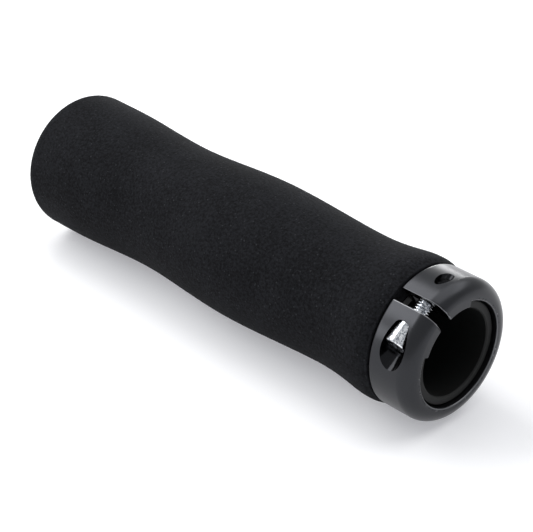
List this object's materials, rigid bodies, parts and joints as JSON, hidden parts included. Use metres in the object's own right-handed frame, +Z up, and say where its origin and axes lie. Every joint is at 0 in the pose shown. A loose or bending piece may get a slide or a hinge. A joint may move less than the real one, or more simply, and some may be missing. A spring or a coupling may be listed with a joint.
{
  "type": "handlebar grip",
  "caption": "Foam bicycle handlebar grip on a plastic core tube, clamped to the bar by a split aluminium collar with one socket head screw.",
  "frame": {"origin": "on the floor below the middle of the grip's length, as it lies on its side", "axes": "+X along the grip's axis towards the clamp collar, +Z up"},
  "size_m": [0.1406, 0.0386, 0.0386],
  "materials": {
    "foam": "black closed-cell foam, matt, with fine pores",
    "core_plastic": "black moulded plastic",
    "anodised_aluminium": "satin black anodised",
    "plated_steel": "bright zinc plate"
  },
  "bodies": {
    "root": {"foam_sleeve": "foam", "core_tube": "core_plastic", "clamp_collar": "anodised_aluminium", "clamp_screw": "plated_steel"}
  },
  "joints": []
}
